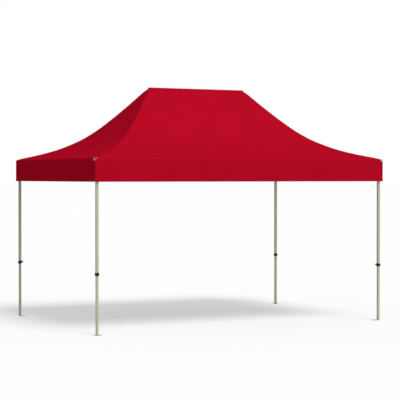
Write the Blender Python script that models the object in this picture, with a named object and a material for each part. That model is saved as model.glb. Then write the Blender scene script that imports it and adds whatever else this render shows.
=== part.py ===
"""Pop up gazebo: a folding scissor frame on four telescopic legs under a hipped canopy.

X runs along the long side, Y along the short side and Z up. The origin is on the
floor under the middle of the roof. All sizes are in metres, and the pose is the open one.
"""
import math

import bmesh
import bpy
from mathutils import Matrix, Vector

# Layout of the scissor frame
SPAN = 1.444
REACH = 0.041
TRUSS_DROP = 0.21
TOP_PIVOT_Z = 2.30
LONG_CELLS = 3
SHORT_CELLS = 2

# Scissor bars and their pivots
BAR_HEIGHT = 0.028
BAR_THICK = 0.013
BAR_END = 0.015
BAR_CHAMFER = 0.007
BAR_SPACING = 0.0015
PIN_RADIUS = 0.004
PIN_CLEARANCE = 0.0004
PIN_PROUD = 0.002
SPACER_RADIUS = 0.007
SPACER_GAP = 0.0005

# Legs
LEG_SIZE = 0.035
LEG_WALL = 0.0018
LEG_BOTTOM_Z = 0.793
TUBE_GAP = 0.0004
LOWER_WALL = 0.0016
LOWER_OVERLAP = 0.21
FOOT_SIZE = 0.080
FOOT_THICK = 0.005
FOOT_LIP = 0.0003
HOLE_RADIUS = 0.0042
HOLE_PITCH = 0.080
HOLE_COUNT = 3

# Corner brackets and sliders
SLEEVE_WALL = 0.0045
SLEEVE_GAP = 0.0004
BRACKET_DEPTH = 0.020
BRACKET_CAP = 0.008
SLIDER_BELOW = 0.016
SLIDER_ABOVE = 0.050
LUG_HEIGHT = 0.028
LUG_END = 0.014
BUTTON_RADIUS = 0.007
BUTTON_PROUD = 0.004
BUTTON_RISE = 0.032
BUTTON_TRAVEL = 0.003
BUTTON_STOP = 0.0003
BUTTON_GAP = 0.0003

# Collars and pull knobs
COLLAR_WALL = 0.0058
COLLAR_GAP = 0.0003
COLLAR_BELOW = 0.008
COLLAR_ABOVE = 0.032
COLLAR_CHAMFER = 0.004
KNOB_RISE = 0.0195
KNOB_LENGTH = 0.027
KNOB_WIDTH = 0.015
KNOB_HEIGHT = 0.017
KNOB_CHAMFER = 0.003
PLUNGER_RADIUS = 0.0036
PLUNGER_INSET = 0.0003

# Hubs, tees and peak posts of the ridge truss
POST_RADIUS = 0.013
POST_GAP = 0.0005
GUIDE_WALL = 0.004
CUP_GAP = 0.0005
CUP_WALL = 0.0045
CUP_FLOOR = 0.008
GUIDE_DROP = 0.25
FLOOR_GAP = 0.003
HUB_HEIGHT = 0.028
TEE_HEIGHT = 0.028
TEE_END = 0.012
TIP_LENGTH = 0.010
TIP_RADIUS = 0.009
TIP_OVERLAP = 0.002

# Canopy
OVERHANG = 0.043
EAVE_Z = 2.323
VALANCE_DROP = 0.307
ROOF_RISE = 1.030
ROOF_PROFILE = (1.0, 0.842, 0.677, 0.521, 0.381, 0.274, 0.196, 0.131, 0.081, 0.038, 0.0)
RIDGE_MARGIN = 0.050
RIDGE_HALF_WIDTH = 0.030
CLOTH_THICK = 0.002
CLOTH_DROP = 0.003
CLOTH_SEAT = 0.0012
LONG_PANEL_CELLS = 8
SHORT_PANEL_CELLS = 6

# Colours
RED = (0.48, 0.006, 0.020, 1.0)
BEIGE = (0.48, 0.47, 0.36, 1.0)
GREY = (0.36, 0.36, 0.35, 1.0)
BLACK = (0.012, 0.012, 0.012, 1.0)
ALERT_RED = (0.55, 0.02, 0.02, 1.0)

# Derived sizes
LOW_PIVOT_Z = TOP_PIVOT_Z - TRUSS_DROP
LEG_X = 0.5 * LONG_CELLS * SPAN + REACH
LEG_Y = 0.5 * SHORT_CELLS * SPAN + REACH
LEG_HALF = LEG_SIZE / 2.0
LOWER_HALF = LEG_HALF - LEG_WALL - TUBE_GAP
LOWER_TOP_Z = LEG_BOTTOM_Z + LOWER_OVERLAP
SLEEVE_HALF = LEG_HALF + SLEEVE_GAP + SLEEVE_WALL
PLANE = (BAR_THICK + BAR_SPACING) / 2.0
GUIDE_INNER = POST_RADIUS + POST_GAP
GUIDE_OUTER = GUIDE_INNER + GUIDE_WALL
CUP_INNER = GUIDE_OUTER + CUP_GAP
CUP_OUTER = CUP_INNER + CUP_WALL
RIDGE_PLANE = CUP_OUTER + BAR_SPACING + BAR_THICK / 2.0
GUIDE_BOTTOM_Z = TOP_PIVOT_Z - GUIDE_DROP
CUP_BOTTOM_Z = GUIDE_BOTTOM_Z - FLOOR_GAP - CUP_FLOOR
KNOB_Z = LEG_BOTTOM_Z + KNOB_RISE
COLLAR_HALF = LEG_HALF + COLLAR_GAP + COLLAR_WALL
CANOPY_X = LEG_X + OVERHANG
CANOPY_Y = LEG_Y + OVERHANG
RIDGE_HALF_LENGTH = 0.5 * SPAN + RIDGE_MARGIN
HUB_X = 0.5 * SPAN

UP = Vector((0.0, 0.0, 1.0))
ALONG_X = Vector((1.0, 0.0, 0.0))
ALONG_Y = Vector((0.0, 1.0, 0.0))


def mesh_object(name, bm):
    """Link a bmesh as an object with outward faces."""
    bmesh.ops.recalc_face_normals(bm, faces=bm.faces)
    mesh = bpy.data.meshes.new(name)
    bm.to_mesh(mesh)
    bm.free()
    obj = bpy.data.objects.new(name, mesh)
    bpy.context.scene.collection.objects.link(obj)
    return obj


def block(low, high):
    """Make a box between two corners."""
    bm = bmesh.new()
    bmesh.ops.create_cube(bm, size=1.0)
    low = Vector(low)
    high = Vector(high)
    for vert in bm.verts:
        vert.co = Vector(low[i] + (vert.co[i] + 0.5) * (high[i] - low[i]) for i in range(3))
    return mesh_object("block", bm)


def prism(outline, start, end, along, across, origin=(0.0, 0.0, 0.0)):
    """Push a flat outline, given in (along, across), from start to end along their normal."""
    bm = bmesh.new()
    normal = along.cross(across)
    base = Vector(origin)
    rings = []
    for depth in (start, end):
        rings.append([bm.verts.new(base + along * u + across * v + normal * depth) for u, v in outline])
    bm.faces.new(rings[0])
    bm.faces.new(rings[1])
    count = len(outline)
    for i in range(count):
        j = (i + 1) % count
        bm.faces.new((rings[0][i], rings[0][j], rings[1][j], rings[1][i]))
    return mesh_object("prism", bm)


def rod(start, end, radius, sides=12):
    """Make a round bar between two points."""
    start = Vector(start)
    end = Vector(end)
    axis = (end - start).normalized()
    across = axis.orthogonal().normalized()
    third = axis.cross(across)
    outline = []
    for i in range(sides):
        angle = 2.0 * math.pi * (i + 0.5) / sides
        outline.append((radius * math.cos(angle), radius * math.sin(angle)))
    return prism(outline, 0.0, (end - start).length, across, third, start)


def chamfered(half_u, half_v, chamfer):
    """Give the outline of a rectangle with cut corners."""
    inner_u = half_u - chamfer
    inner_v = half_v - chamfer
    return [(half_u, -inner_v), (half_u, inner_v), (inner_u, half_v), (-inner_u, half_v),
            (-half_u, inner_v), (-half_u, -inner_v), (-inner_u, -half_v), (inner_u, -half_v)]


def combine(base, tools, operation):
    """Add tools to, or cut tools from, a base solid."""
    for tool in tools:
        tool.hide_render = True
        tool.display_type = "WIRE"
        modifier = base.modifiers.new("combine", "BOOLEAN")
        modifier.operation = operation
        modifier.solver = "EXACT"
        modifier.object = tool
        graph = bpy.context.evaluated_depsgraph_get()
        result = bpy.data.meshes.new_from_object(base.evaluated_get(graph))
        base.modifiers.clear()
        old = base.data
        base.data = result
        bpy.data.meshes.remove(old)
        bpy.data.objects.remove(tool)
    return base


def finish(obj, name, pivot, colour, metallic, roughness):
    """Name a solid, set its origin on its joint and give it a material."""
    shift = Vector(pivot)
    obj.name = name
    obj.data.name = name
    obj.data.transform(obj.matrix_world)
    obj.matrix_world = Matrix.Identity(4)
    obj.data.transform(Matrix.Translation(-shift))
    obj.location = shift
    material = bpy.data.materials.new(name)
    material.use_nodes = True
    shader = material.node_tree.nodes["Principled BSDF"]
    shader.inputs["Base Color"].default_value = colour
    shader.inputs["Metallic"].default_value = metallic
    shader.inputs["Roughness"].default_value = roughness
    obj.data.materials.clear()
    obj.data.materials.append(material)
    return obj


def roof_height(x, y):
    """Give the height of the outer roof face above a point."""
    share_x = (abs(x) - RIDGE_HALF_LENGTH) / (CANOPY_X - RIDGE_HALF_LENGTH)
    share_y = (abs(y) - RIDGE_HALF_WIDTH) / (CANOPY_Y - RIDGE_HALF_WIDTH)
    share = min(max(share_x, share_y, 0.0), 1.0)
    steps = len(ROOF_PROFILE) - 1
    index = min(int(share * steps), steps - 1)
    part = share * steps - index
    level = ROOF_PROFILE[index] * (1.0 - part) + ROOF_PROFILE[index + 1] * part
    return EAVE_Z + ROOF_RISE * level


def canopy_ring(half_x, half_y):
    """Give the points of one level of the canopy, going round once."""
    points = []
    for i in range(LONG_PANEL_CELLS):
        points.append((-half_x + 2.0 * half_x * i / LONG_PANEL_CELLS, -half_y))
    for i in range(SHORT_PANEL_CELLS):
        points.append((half_x, -half_y + 2.0 * half_y * i / SHORT_PANEL_CELLS))
    for i in range(LONG_PANEL_CELLS):
        points.append((half_x - 2.0 * half_x * i / LONG_PANEL_CELLS, half_y))
    for i in range(SHORT_PANEL_CELLS):
        points.append((-half_x, half_y - 2.0 * half_y * i / SHORT_PANEL_CELLS))
    return points


def make_canopy():
    """Make the sewn roof and valance as one thin closed shell."""
    bm = bmesh.new()
    outer = []
    inner = []
    steps = len(ROOF_PROFILE) - 1
    for i, level in enumerate(ROOF_PROFILE):
        share = i / steps
        half_x = RIDGE_HALF_LENGTH + (CANOPY_X - RIDGE_HALF_LENGTH) * share
        half_y = RIDGE_HALF_WIDTH + (CANOPY_Y - RIDGE_HALF_WIDTH) * share
        z = EAVE_Z + ROOF_RISE * level
        inset = CLOTH_THICK if i == steps else 0.0
        outer.append([(x, y, z) for x, y in canopy_ring(half_x, half_y)])
        inner.append([(x, y, z - CLOTH_DROP) for x, y in canopy_ring(half_x - inset, half_y - inset)])
    hem = EAVE_Z - VALANCE_DROP
    outer.append([(x, y, hem) for x, y in canopy_ring(CANOPY_X, CANOPY_Y)])
    inner.append([(x, y, hem) for x, y in canopy_ring(CANOPY_X - CLOTH_THICK, CANOPY_Y - CLOTH_THICK)])
    levels = outer + inner[::-1]
    rings = [[bm.verts.new(point) for point in ring] for ring in levels]
    count = len(rings[0])
    for lower, upper in zip(rings, rings[1:]):
        for i in range(count):
            j = (i + 1) % count
            bm.faces.new((lower[i], lower[j], upper[j], upper[i]))
    bm.faces.new(rings[0])
    bm.faces.new(rings[-1])
    bmesh.ops.triangulate(bm, faces=[face for face in bm.faces if len(face.verts) > 4])
    finish(mesh_object("canopy", bm), "canopy", (-HUB_X, 0.0, TOP_PIVOT_Z), RED, 0.0, 0.8)


def make_bar(name, start, end, inward, pin_places, hole_places, pivot, spacer=False):
    """Make one scissor bar, with pins towards inward at some pivots and holes at others.

    The places are shares of the distance from start to end. The bar is made along x, with its
    pins along z, and then turned into its place.
    """
    start = Vector(start)
    end = Vector(end)
    inner = Vector(inward)
    along = (end - start).normalized()
    length = (end - start).length
    outline = chamfered(length / 2.0 + BAR_END, BAR_HEIGHT / 2.0, BAR_CHAMFER)
    bar = prism(outline, -BAR_THICK / 2.0, BAR_THICK / 2.0, ALONG_X, ALONG_Y)
    gap = 2.0 * (RIDGE_PLANE if spacer else PLANE)
    pins = []
    for place in pin_places:
        x = (place - 0.5) * length
        pins.append(rod((x, 0.0, 0.0), (x, 0.0, gap + BAR_THICK / 2.0 + PIN_PROUD), PIN_RADIUS))
        if spacer:
            pins.append(rod((x, 0.0, 0.0), (x, 0.0, gap - BAR_THICK / 2.0 - SPACER_GAP), SPACER_RADIUS))
    combine(bar, pins, "UNION")
    holes = []
    for place in hole_places:
        x = (place - 0.5) * length
        holes.append(rod((x, 0.0, -BAR_THICK), (x, 0.0, BAR_THICK), PIN_RADIUS + PIN_CLEARANCE))
    combine(bar, holes, "DIFFERENCE")
    turn = Matrix((along, inner.cross(along), inner)).transposed().to_4x4()
    bar.matrix_world = Matrix.Translation((start + end) / 2.0) @ turn
    finish(bar, name, pivot, BEIGE, 0.0, 0.45)


def make_side(side, first, direction, outside, cells, held):
    """Make the crossed bars of one side, from its left end as seen from outside.

    The bar that falls to the right is in the outer plane, and the other one in the inner plane.
    held lists the nodes whose pins belong to a bracket, and not to the bars.
    """
    outer = outside * PLANE
    for cell in range(cells):
        left = first + direction * (SPAN * cell)
        right = first + direction * (SPAN * (cell + 1))
        top_left = Vector((left.x, left.y, TOP_PIVOT_Z))
        low_left = Vector((left.x, left.y, LOW_PIVOT_Z))
        top_right = Vector((right.x, right.y, TOP_PIVOT_Z))
        low_right = Vector((right.x, right.y, LOW_PIVOT_Z))
        ends = [0.0 if cell not in held else None, 1.0 if cell + 1 not in held else None]
        pins = [0.5] + [place for place in ends if place is not None]
        holes = [place for place, node in ((0.0, cell), (1.0, cell + 1)) if node in held]
        number = cell + 1
        make_bar(f"bar_{side}_{number}_falling", top_left + outer, low_right + outer, -outside, pins, holes,
                 top_left + outer)
        make_bar(f"bar_{side}_{number}_rising", low_left - outer, top_right - outer, -outside, [],
                 [0.0, 0.5, 1.0], top_right - outer)


def make_ridge_truss():
    """Make the crossed bars between the tees, on both sides of the hubs."""
    first = -LEG_X + REACH
    offset = ALONG_Y * RIDGE_PLANE
    for cell in range(LONG_CELLS):
        left = first + SPAN * cell
        right = left + SPAN
        falling = (Vector((left, 0.0, TOP_PIVOT_Z)) - offset, Vector((right, 0.0, LOW_PIVOT_Z)) - offset)
        rising = (Vector((left, 0.0, LOW_PIVOT_Z)) + offset, Vector((right, 0.0, TOP_PIVOT_Z)) + offset)
        number = cell + 1
        make_bar(f"bar_ridge_{number}_falling", *falling, ALONG_Y, [0.5], [0.0, 1.0], falling[0], spacer=True)
        make_bar(f"bar_ridge_{number}_rising", *rising, ALONG_Y, [], [0.0, 0.5, 1.0], rising[1], spacer=True)


def corner_lug(along_first, level, outer):
    """Make a bracket lug with its pin, in the frame of a corner.

    along_first picks the side that runs along the corner's x axis. outer puts the lug in the
    outer bar plane, and its pin then points inwards.
    """
    sign = -1.0 if outer else 1.0
    height = LUG_HEIGHT / 2.0
    near = LEG_HALF + SLEEVE_GAP + SLEEVE_WALL / 2.0
    far = REACH + LUG_END
    low = sign * PLANE - BAR_THICK / 2.0
    high = sign * PLANE + BAR_THICK / 2.0
    start = sign * PLANE
    end = -sign * (PLANE + BAR_THICK / 2.0 + PIN_PROUD)
    if along_first:
        lug = block((near, low, level - height), (far, high, level + height))
        pin = rod((REACH, start, level), (REACH, end, level), PIN_RADIUS)
    else:
        lug = block((low, near, level - height), (high, far, level + height))
        pin = rod((start, REACH, level), (end, REACH, level), PIN_RADIUS)
    return [lug, pin]


def square_post(half, low, high):
    """Make an upright square bar about the corner's axis."""
    return block((-half, -half, low), (half, half, high))


def make_corner(tag, turn, centre):
    """Make the leg, slider, collar and controls of one corner.

    Each corner is the same unit, turned about the vertical.
    """
    place = Matrix.Translation(centre) @ Matrix.Rotation(turn, 4, "Z")
    outer_edge = roof_height(LEG_X + SLEEVE_HALF, LEG_Y + SLEEVE_HALF)
    top = outer_edge - CLOTH_DROP - CLOTH_SEAT

    upper = square_post(LEG_HALF, LEG_BOTTOM_Z, top - BRACKET_CAP / 2.0)
    sleeve = square_post(SLEEVE_HALF, TOP_PIVOT_Z - BRACKET_DEPTH, top)
    lugs = corner_lug(True, TOP_PIVOT_Z, False) + corner_lug(False, TOP_PIVOT_Z, True)
    combine(upper, [sleeve] + lugs, "UNION")
    bore = square_post(LEG_HALF - LEG_WALL, LEG_BOTTOM_Z - LEG_SIZE, top - BRACKET_CAP)
    port = rod((0.0, 0.0, KNOB_Z), (0.0, LEG_SIZE, KNOB_Z), HOLE_RADIUS)
    combine(upper, [bore, port], "DIFFERENCE")
    upper.matrix_world = place
    finish(upper, f"leg_upper_{tag}", place @ Vector((0.0, 0.0, TOP_PIVOT_Z)), BEIGE, 0.0, 0.4)

    lower = square_post(LOWER_HALF, FOOT_THICK / 2.0, LOWER_TOP_Z)
    edge = FOOT_SIZE - LOWER_HALF
    foot = block((-LOWER_HALF - FOOT_LIP, -LOWER_HALF - FOOT_LIP, 0.0), (edge, edge, FOOT_THICK))
    combine(lower, [foot], "UNION")
    cuts = [square_post(LOWER_HALF - LOWER_WALL, 2.0 * FOOT_THICK, LOWER_TOP_Z + LEG_SIZE)]
    for i in range(HOLE_COUNT):
        level = KNOB_Z - HOLE_PITCH * i
        cuts.append(rod((0.0, 0.0, level), (0.0, LEG_SIZE, level), HOLE_RADIUS))
    combine(lower, cuts, "DIFFERENCE")
    lower.matrix_world = place
    finish(lower, f"leg_lower_{tag}", place @ Vector((0.0, 0.0, LEG_BOTTOM_Z)), BEIGE, 0.0, 0.4)

    slider = square_post(SLEEVE_HALF, LOW_PIVOT_Z - SLIDER_BELOW, LOW_PIVOT_Z + SLIDER_ABOVE)
    lugs = corner_lug(True, LOW_PIVOT_Z, True) + corner_lug(False, LOW_PIVOT_Z, False)
    combine(slider, lugs, "UNION")
    bore = square_post(LEG_HALF + SLEEVE_GAP, LOW_PIVOT_Z - LEG_SIZE, LOW_PIVOT_Z + 2.0 * SLIDER_ABOVE)
    level = LOW_PIVOT_Z + BUTTON_RISE
    port = rod((0.0, 0.0, level), (0.0, 2.0 * SLEEVE_HALF, level), BUTTON_RADIUS + BUTTON_GAP, 16)
    combine(slider, [bore, port], "DIFFERENCE")
    slider.matrix_world = place
    finish(slider, f"slider_{tag}", place @ Vector((0.0, 0.0, LOW_PIVOT_Z)), BLACK, 0.0, 0.5)

    inside = LEG_HALF + BUTTON_TRAVEL + BUTTON_STOP
    button = rod((0.0, inside, level), (0.0, SLEEVE_HALF + BUTTON_PROUD, level), BUTTON_RADIUS, 16)
    button.matrix_world = place
    finish(button, f"slider_button_{tag}", place @ Vector((0.0, inside, level)), ALERT_RED, 0.0, 0.4)

    outline = chamfered(COLLAR_HALF, COLLAR_HALF, COLLAR_CHAMFER)
    bottom = LEG_BOTTOM_Z - COLLAR_BELOW
    collar = prism(outline, bottom, LEG_BOTTOM_Z + COLLAR_ABOVE, ALONG_X, ALONG_Y)
    seat = square_post(LEG_HALF + COLLAR_GAP, LEG_BOTTOM_Z - COLLAR_GAP, LEG_BOTTOM_Z + 2.0 * COLLAR_ABOVE)
    throat = square_post(LOWER_HALF + TUBE_GAP, bottom - LEG_SIZE, LEG_BOTTOM_Z + LEG_SIZE)
    port = rod((0.0, 0.0, KNOB_Z), (0.0, 2.0 * COLLAR_HALF, KNOB_Z), HOLE_RADIUS)
    combine(collar, [seat, throat, port], "DIFFERENCE")
    collar.matrix_world = place
    finish(collar, f"collar_{tag}", place @ Vector((0.0, 0.0, LEG_BOTTOM_Z)), BLACK, 0.0, 0.5)

    near = COLLAR_HALF + COLLAR_GAP
    outline = chamfered(KNOB_HEIGHT / 2.0, KNOB_WIDTH / 2.0, KNOB_CHAMFER)
    origin = Vector((0.0, near, KNOB_Z))
    knob = prism(outline, 0.0, KNOB_LENGTH, UP, ALONG_X, origin)
    inside = LEG_HALF - LEG_WALL + PLUNGER_INSET
    plunger = rod((0.0, inside, KNOB_Z), (0.0, near + KNOB_LENGTH / 2.0, KNOB_Z), PLUNGER_RADIUS)
    combine(knob, [plunger], "UNION")
    knob.matrix_world = place
    finish(knob, f"collar_knob_{tag}", place @ origin, BLACK, 0.0, 0.5)


def make_tee(tag, turn, level, pin_side):
    """Make one tee bracket that joins a short side to the ridge truss."""
    place = Matrix.Translation((-LEG_X * math.cos(turn), 0.0, level)) @ Matrix.Rotation(turn, 4, "Z")
    height = TEE_HEIGHT / 2.0
    width = RIDGE_PLANE - BAR_THICK / 2.0 - SPACER_GAP
    near = PLANE + BAR_THICK / 2.0 + BAR_SPACING
    tee = block((near, -width, -height), (REACH + TEE_END, width, height))
    side_pin = rod((-near - PIN_PROUD, 0.0, 0.0), (REACH, 0.0, 0.0), PIN_RADIUS)
    tip = pin_side * (RIDGE_PLANE + BAR_THICK / 2.0 + PIN_PROUD)
    ridge_pin = rod((REACH, 0.0, 0.0), (REACH, tip, 0.0), PIN_RADIUS)
    combine(tee, [side_pin, ridge_pin], "UNION")
    tee.matrix_world = place
    finish(tee, f"tee_{tag}", place @ Vector((REACH, 0.0, 0.0)), BLACK, 0.0, 0.5)


def make_hub(tag, x):
    """Make an upper hub with its guide tube, and the peak post with its lower hub."""
    place = Matrix.Translation((x, 0.0, 0.0))
    half = HUB_HEIGHT / 2.0
    reach = RIDGE_PLANE + BAR_THICK / 2.0 + PIN_PROUD

    hub = rod((0.0, 0.0, TOP_PIVOT_Z - half), (0.0, 0.0, TOP_PIVOT_Z + half), CUP_OUTER, 16)
    guide = rod((0.0, 0.0, GUIDE_BOTTOM_Z), (0.0, 0.0, TOP_PIVOT_Z), GUIDE_OUTER, 16)
    pin = rod((0.0, -reach, TOP_PIVOT_Z), (0.0, reach, TOP_PIVOT_Z), PIN_RADIUS)
    combine(hub, [guide, pin], "UNION")
    bore = rod((0.0, 0.0, GUIDE_BOTTOM_Z - HUB_HEIGHT), (0.0, 0.0, TOP_PIVOT_Z + HUB_HEIGHT), GUIDE_INNER, 16)
    combine(hub, [bore], "DIFFERENCE")
    hub.matrix_world = place
    finish(hub, f"hub_upper_{tag}", (x, 0.0, TOP_PIVOT_Z), BLACK, 0.0, 0.5)

    tip_z = EAVE_Z + ROOF_RISE - CLOTH_DROP - CLOTH_SEAT
    cup = rod((0.0, 0.0, CUP_BOTTOM_Z), (0.0, 0.0, LOW_PIVOT_Z + half), CUP_OUTER, 16)
    pin = rod((0.0, -reach, LOW_PIVOT_Z), (0.0, reach, LOW_PIVOT_Z), PIN_RADIUS)
    combine(cup, [pin], "UNION")
    well = rod((0.0, 0.0, CUP_BOTTOM_Z + CUP_FLOOR), (0.0, 0.0, LOW_PIVOT_Z + HUB_HEIGHT), CUP_INNER, 16)
    combine(cup, [well], "DIFFERENCE")
    shoulder = tip_z - TIP_LENGTH
    post = rod((0.0, 0.0, CUP_BOTTOM_Z + CUP_FLOOR / 2.0), (0.0, 0.0, shoulder), POST_RADIUS, 16)
    tip = rod((0.0, 0.0, shoulder - TIP_OVERLAP), (0.0, 0.0, tip_z), TIP_RADIUS, 16)
    combine(cup, [post, tip], "UNION")
    cup.matrix_world = place
    finish(cup, f"post_{tag}", (x, 0.0, LOW_PIVOT_Z), GREY, 0.0, 0.4)


def build():
    """Clear the file and make every piece."""
    for obj in list(bpy.data.objects):
        bpy.data.objects.remove(obj)
    left = -LEG_X
    right = LEG_X
    front = -LEG_Y
    back = LEG_Y
    make_canopy()
    make_side("front", Vector((left + REACH, front, 0.0)), ALONG_X, -ALONG_Y, LONG_CELLS, (0, LONG_CELLS))
    make_side("right", Vector((right, front + REACH, 0.0)), ALONG_Y, ALONG_X, SHORT_CELLS, (0, 1, 2))
    make_side("back", Vector((right - REACH, back, 0.0)), -ALONG_X, ALONG_Y, LONG_CELLS, (0, LONG_CELLS))
    make_side("left", Vector((left, back - REACH, 0.0)), -ALONG_Y, -ALONG_X, SHORT_CELLS, (0, 1, 2))
    make_ridge_truss()
    corners = (("front_left", left, front), ("front_right", right, front),
               ("back_right", right, back), ("back_left", left, back))
    for quarter, (tag, x, y) in enumerate(corners):
        make_corner(tag, quarter * math.pi / 2.0, Vector((x, y, 0.0)))
    for half_turn, tag in enumerate(("left", "right")):
        turn = half_turn * math.pi
        make_tee(f"{tag}_upper", turn, TOP_PIVOT_Z, -1.0)
        make_tee(f"{tag}_lower", turn, LOW_PIVOT_Z, 1.0)
        make_hub(tag, -HUB_X if half_turn == 0 else HUB_X)


build()
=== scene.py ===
"""Looks of the pop up gazebo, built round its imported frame.

The script dresses the folding frame, sews the canopy over it, and sets the floor, the light
and the camera of the photograph. All sizes are in metres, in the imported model's own frame.
"""

import logging
import math
from dataclasses import dataclass, field
from enum import Enum
from typing import Any, Protocol, Sequence

import bmesh
import bpy
import numpy as np
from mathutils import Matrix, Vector


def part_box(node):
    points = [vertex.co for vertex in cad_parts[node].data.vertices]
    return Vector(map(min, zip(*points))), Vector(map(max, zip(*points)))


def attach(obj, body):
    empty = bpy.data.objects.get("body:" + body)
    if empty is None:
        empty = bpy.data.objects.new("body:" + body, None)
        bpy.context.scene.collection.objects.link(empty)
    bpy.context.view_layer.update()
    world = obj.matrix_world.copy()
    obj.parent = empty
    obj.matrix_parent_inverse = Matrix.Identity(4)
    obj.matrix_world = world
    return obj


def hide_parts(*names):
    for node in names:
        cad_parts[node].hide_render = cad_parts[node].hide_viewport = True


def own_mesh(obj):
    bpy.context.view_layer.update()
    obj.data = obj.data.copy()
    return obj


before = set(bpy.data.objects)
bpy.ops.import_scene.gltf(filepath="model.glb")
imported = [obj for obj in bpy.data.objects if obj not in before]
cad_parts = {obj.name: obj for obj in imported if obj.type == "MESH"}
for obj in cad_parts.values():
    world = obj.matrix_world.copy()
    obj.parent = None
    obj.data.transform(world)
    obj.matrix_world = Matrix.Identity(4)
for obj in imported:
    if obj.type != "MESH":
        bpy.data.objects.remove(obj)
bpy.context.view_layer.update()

Socket = bpy.types.NodeSocket
Tree = bpy.types.NodeTree

LOG = logging.getLogger("gazebo")
MILLIMETRE = 0.001
UP = np.array([0.0, 0.0, 1.0])
CLOTH_MAP = "cloth"
# The scale at which a wave texture has one band to the metre.
WAVE_STEP = 2.0 * math.pi / 20.0
# The curve between sRGB and linear light.
SRGB_KNEE, SRGB_SLOPE = 0.04045, 12.92
SRGB_OFFSET, SRGB_SPAN, SRGB_POWER = 0.055, 1.055, 2.4
# The sockets of a mix node that mixes colours.
MIX_SHARE, MIX_FROM, MIX_TO, MIX_RESULT = 0, 6, 7, 2
# How finely domes and stitches are cut.
DOME_SEGMENTS, DOME_RINGS, STITCH_SIDES = 12, 6, 6
# The faces of a box whose corners are counted round the bottom and then round the top.
BOX_FACES = ((0, 1, 2, 3), (4, 5, 6, 7), (0, 1, 5, 4), (1, 2, 6, 5), (2, 3, 7, 6), (3, 0, 4, 7))
ROUND_PROFILE = 0.5


def linear(colour: str) -> tuple[float, float, float, float]:
    """Turn an sRGB hex colour into linear light.

    Args:
        colour: The colour, as #RRGGBB.

    Returns:
        Red, green, blue and alpha, from 0 to 1.
    """
    parts = [int(colour[i:i + 2], 16) / 255.0 for i in (1, 3, 5)]
    light = [c / SRGB_SLOPE if c <= SRGB_KNEE else ((c + SRGB_OFFSET) / SRGB_SPAN) ** SRGB_POWER
             for c in parts]
    return light[0], light[1], light[2], 1.0


def add_node(tree: Tree, kind: str, values: dict[Any, Any] | None = None,
             **settings: Any) -> bpy.types.Node:
    """Add a node with its settings, and fill or link its inputs.

    Args:
        tree: The node tree that gets the node.
        kind: The node's type name.
        values: A value, or another node's output, for each input by name or number.
        **settings: The node's own properties.

    Returns:
        The new node.
    """
    node = tree.nodes.new(kind)
    for name, value in settings.items():
        setattr(node, name, value)
    for key, value in (values or {}).items():
        if isinstance(value, Socket):
            tree.links.new(value, node.inputs[key])
        else:
            node.inputs[key].default_value = value
    return node


def add_math(tree: Tree, operation: str, first: Socket, second: Socket | float) -> Socket:
    """Add a node that works out one number from two, and give its result."""
    return add_node(tree, "ShaderNodeMath", {0: first, 1: second}, operation=operation).outputs[0]


def ray_is(tree: Tree, first: str, *others: str) -> Socket:
    """Give 1 where a ray of light is of one of the named kinds, and 0 where it is not."""
    ray =add_node(tree, "ShaderNodeLightPath")
    found = ray.outputs[f"Is {first} Ray"]
    for kind in others:
        found = add_math(tree, "MAXIMUM", found, ray.outputs[f"Is {kind} Ray"])
    return found


@dataclass
class Bench:
    """A material in the making, with the steps that the finishes share."""

    name: str
    material: bpy.types.Material = field(init=False)
    tree: Tree = field(init=False)

    def __post_init__(self) -> None:
        """Make the empty material."""
        self.material = bpy.data.materials.new(self.name)
        self.material.use_nodes = True
        self.tree = self.material.node_tree
        self.tree.nodes.clear()

    def spot(self) -> Socket:
        """Give the place on the object, in metres."""
        return add_node(self.tree, "ShaderNodeTexCoord").outputs["Object"]

    def noise(self, place: Socket, size_mm: float, detail: float) -> Socket:
        """Add a noise with clouds of a size at a place, and give its value, from 0 to 1."""
        return add_node(self.tree, "ShaderNodeTexNoise", {
            "Vector": place, "Scale": 1.0 / (size_mm * MILLIMETRE),
            "Detail": detail}).outputs["Fac"]

    def bands(self, place: Socket, size_mm: float, way: str) -> Socket:
        """Add even bands of a size across a way, and give their wave, from 0 to 1."""
        return add_node(self.tree, "ShaderNodeTexWave", {
            "Vector": place, "Scale": WAVE_STEP / (size_mm * MILLIMETRE)},
            wave_type="BANDS", bands_direction=way).outputs["Fac"]

    def blend(self, share: Socket, low: Socket | str, high: str) -> Socket:
        """Mix one colour, as hex or as an output, with a share of another, and give the mix."""
        return add_node(self.tree, "ShaderNodeMix", {
            MIX_SHARE: share, MIX_FROM: linear(low) if isinstance(low, str) else low,
            MIX_TO: linear(high)}, data_type="RGBA").outputs[MIX_RESULT]

    def bump(self, height: Socket, strength: float, depth_mm: float) -> Socket:
        """Turn a height from 0 to 1 into a normal, and give it."""
        return add_node(self.tree, "ShaderNodeBump", {
            "Height": height, "Strength": strength,
            "Distance": depth_mm * MILLIMETRE}).outputs["Normal"]

    def close(self, shader: bpy.types.Node) -> bpy.types.Material:
        """End the material in a shader, and give it."""
        add_node(self.tree, "ShaderNodeOutputMaterial", {"Surface": shader.outputs[0]})
        return self.material

    def surface(self, values: dict[str, Any]) -> bpy.types.Material:
        """End the material in a principled shader with some inputs, and give it."""
        return self.close(add_node(self.tree, "ShaderNodeBsdfPrincipled", values))


class Finish(Protocol):
    """A surface that can be put on a piece."""

    @property
    def name(self) -> str:
        """Name of the finish's material."""

    def material(self) -> bpy.types.Material:
        """Build the finish's material."""


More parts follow.
